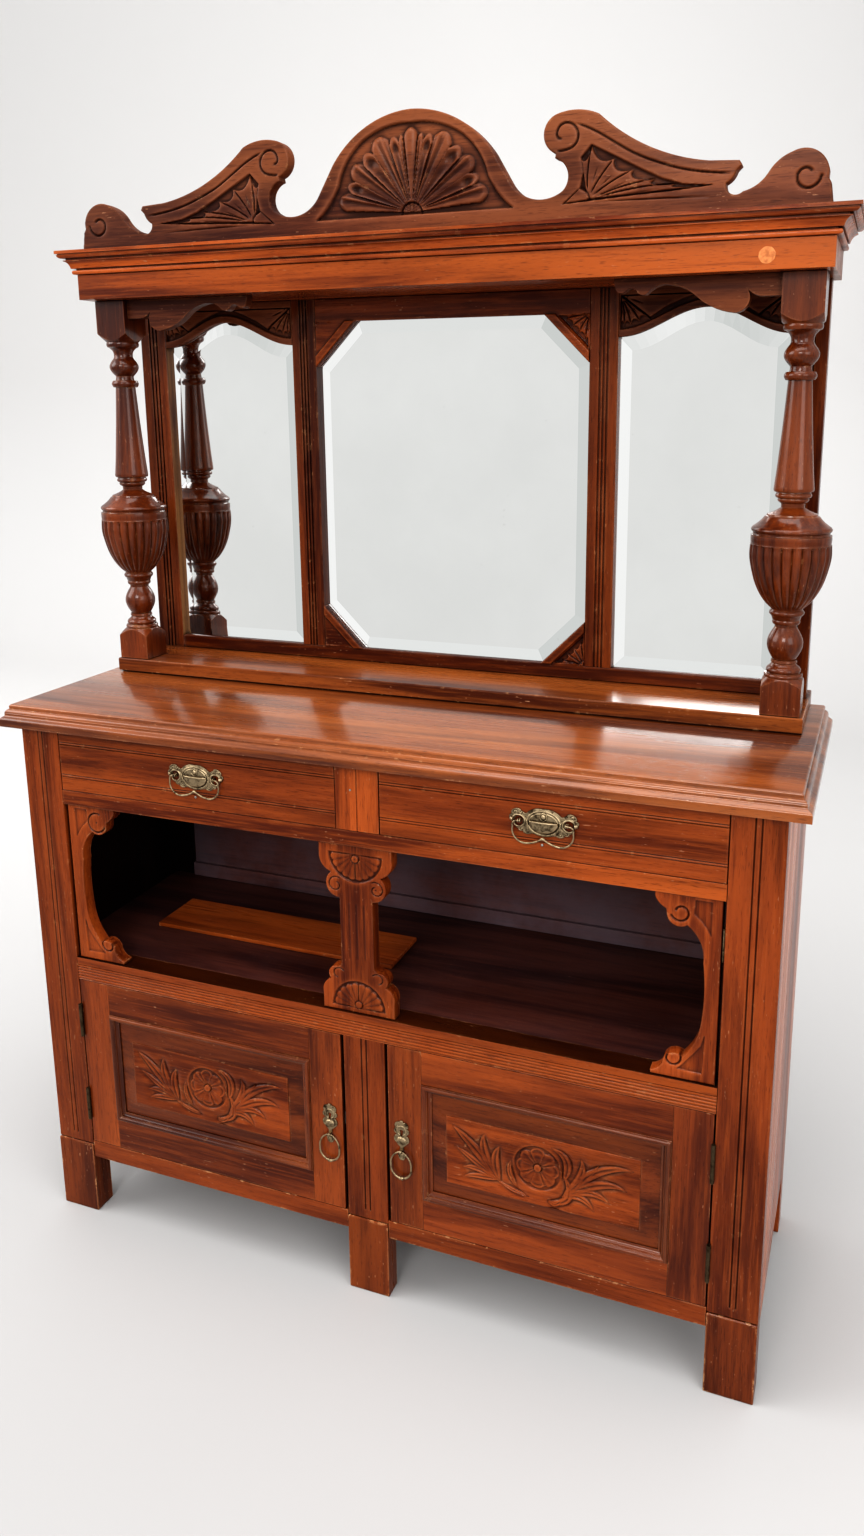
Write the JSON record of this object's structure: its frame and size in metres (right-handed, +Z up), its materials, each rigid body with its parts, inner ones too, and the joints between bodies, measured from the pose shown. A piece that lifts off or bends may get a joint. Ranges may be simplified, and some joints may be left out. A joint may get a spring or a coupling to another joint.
{
  "type": "mirror-back sideboard",
  "caption": "Mahogany sideboard with cupboards, open recess and drawers under a carved mirror back with turned columns, cornice and crest.",
  "frame": {"origin": "on the floor, at the middle of the bounding box in plan", "axes": "+X to the right seen from the front, +Y to the back, +Z up; the front faces -Y"},
  "size_m": [1.276, 0.452, 1.8283],
  "materials": {
    "mahogany": "worn glossy French polish, red-brown",
    "bright_mahogany": "worn glossy polish, orange-brown",
    "dark_mahogany": "dark stained, satin",
    "pine": "unpolished softwood",
    "brass": "antique stamped brass with dark patina",
    "steel": "dull lock steel",
    "silvered_glass": "silvered plate with ground bevel"
  },
  "bodies": {
    "root": {"worktop": "mahogany", "post_left": "mahogany", "post_right": "mahogany", "muntin_doors": "mahogany", "side_left": "mahogany", "side_right": "mahogany", "fret_frame_left": "mahogany", "fret_frame_right": "mahogany", "centre_pilaster": "mahogany", "column_shelf": "mahogany", "column_left": "mahogany", "column_right": "mahogany", "outer_stile_left": "mahogany", "outer_stile_right": "mahogany", "inner_stile_left": "mahogany", "inner_stile_right": "mahogany", "frame_bottom_rail": "mahogany", "frame_top_rail": "mahogany", "arch_head_left": "mahogany", "arch_head_right": "mahogany", "valance_left": "mahogany", "valance_right": "mahogany", "pediment": "mahogany", "muntin_drawers": "bright_mahogany", "bottom_rail": "bright_mahogany", "shelf_rail": "bright_mahogany", "drawer_rail": "bright_mahogany", "loose_shelf_board": "bright_mahogany", "frieze_and_soffit": "bright_mahogany", "cornice": "bright_mahogany", "back_panel": "dark_mahogany", "cupboard_floor": "dark_mahogany", "recess_floor": "dark_mahogany", "dust_board_with_guides": "dark_mahogany", "mirror_centre": "silvered_glass", "mirror_left": "silvered_glass", "mirror_right": "silvered_glass", "mirror_backboard": "pine"},
    "drawer_left": {"drawer_left_front": "mahogany", "drawer_left_box": "pine", "drawer_left_handle_plate": "brass"},
    "drawer_left_bail": {"drawer_left_bail": "brass"},
    "door_left": {"door_left_frame": "mahogany", "door_left_panel": "mahogany", "door_left_escutcheon": "brass", "door_left_hinge_lower": "brass", "door_left_hinge_upper": "brass"},
    "door_left_ring": {"door_left_ring": "brass"},
    "door_left_lock_bolt": {"door_left_lock_bolt": "steel"},
    "drawer_right": {"drawer_right_front": "mahogany", "drawer_right_box": "pine", "drawer_right_handle_plate": "brass"},
    "drawer_right_bail": {"drawer_right_bail": "brass"},
    "door_right": {"door_right_frame": "mahogany", "door_right_panel": "mahogany", "door_right_escutcheon": "brass", "door_right_hinge_lower": "brass", "door_right_hinge_upper": "brass"},
    "door_right_ring": {"door_right_ring": "brass"},
    "door_right_lock_bolt": {"door_right_lock_bolt": "steel"}
  },
  "joints": [
    {"name": "drawer_left_slide", "type": "slide", "parent": "root", "child": "drawer_left", "axis": [0, -1, 0], "range_m": [0, 0.26]},
    {"name": "drawer_left_bail_swing", "type": "hinge", "parent": "drawer_left", "child": "drawer_left_bail", "pos_m": [-0.2755, -0.2142, 0.8474], "axis": [-1, 0, 0], "range_deg": [0, 80]},
    {"name": "door_left_swing", "type": "hinge", "parent": "root", "child": "door_left", "pos_m": [-0.535, -0.2113, 0.143], "axis": [0, 0, -1], "range_deg": [0, 95]},
    {"name": "door_left_ring_swing", "type": "hinge", "parent": "door_left", "child": "door_left_ring", "pos_m": [-0.062, -0.2136, 0.2765], "axis": [-1, 0, 0], "range_deg": [0, 75]},
    {"name": "door_left_bolt_throw", "type": "slide", "parent": "door_left", "child": "door_left_lock_bolt", "axis": [1, 0, 0], "range_m": [0, 0.008]},
    {"name": "drawer_right_slide", "type": "slide", "parent": "root", "child": "drawer_right", "axis": [0, -1, 0], "range_m": [0, 0.26]},
    {"name": "drawer_right_bail_swing", "type": "hinge", "parent": "drawer_right", "child": "drawer_right_bail", "pos_m": [0.2855, -0.2142, 0.8474], "axis": [-1, 0, 0], "range_deg": [0, 80]},
    {"name": "door_right_swing", "type": "hinge", "parent": "root", "child": "door_right", "pos_m": [0.535, -0.2113, 0.143], "axis": [0, 0, 1], "range_deg": [0, 95]},
    {"name": "door_right_ring_swing", "type": "hinge", "parent": "door_right", "child": "door_right_ring", "pos_m": [0.062, -0.2136, 0.2765], "axis": [-1, 0, 0], "range_deg": [0, 75]},
    {"name": "door_right_bolt_throw", "type": "slide", "parent": "door_right", "child": "door_right_lock_bolt", "axis": [-1, 0, 0], "range_m": [0, 0.008]}
  ]
}
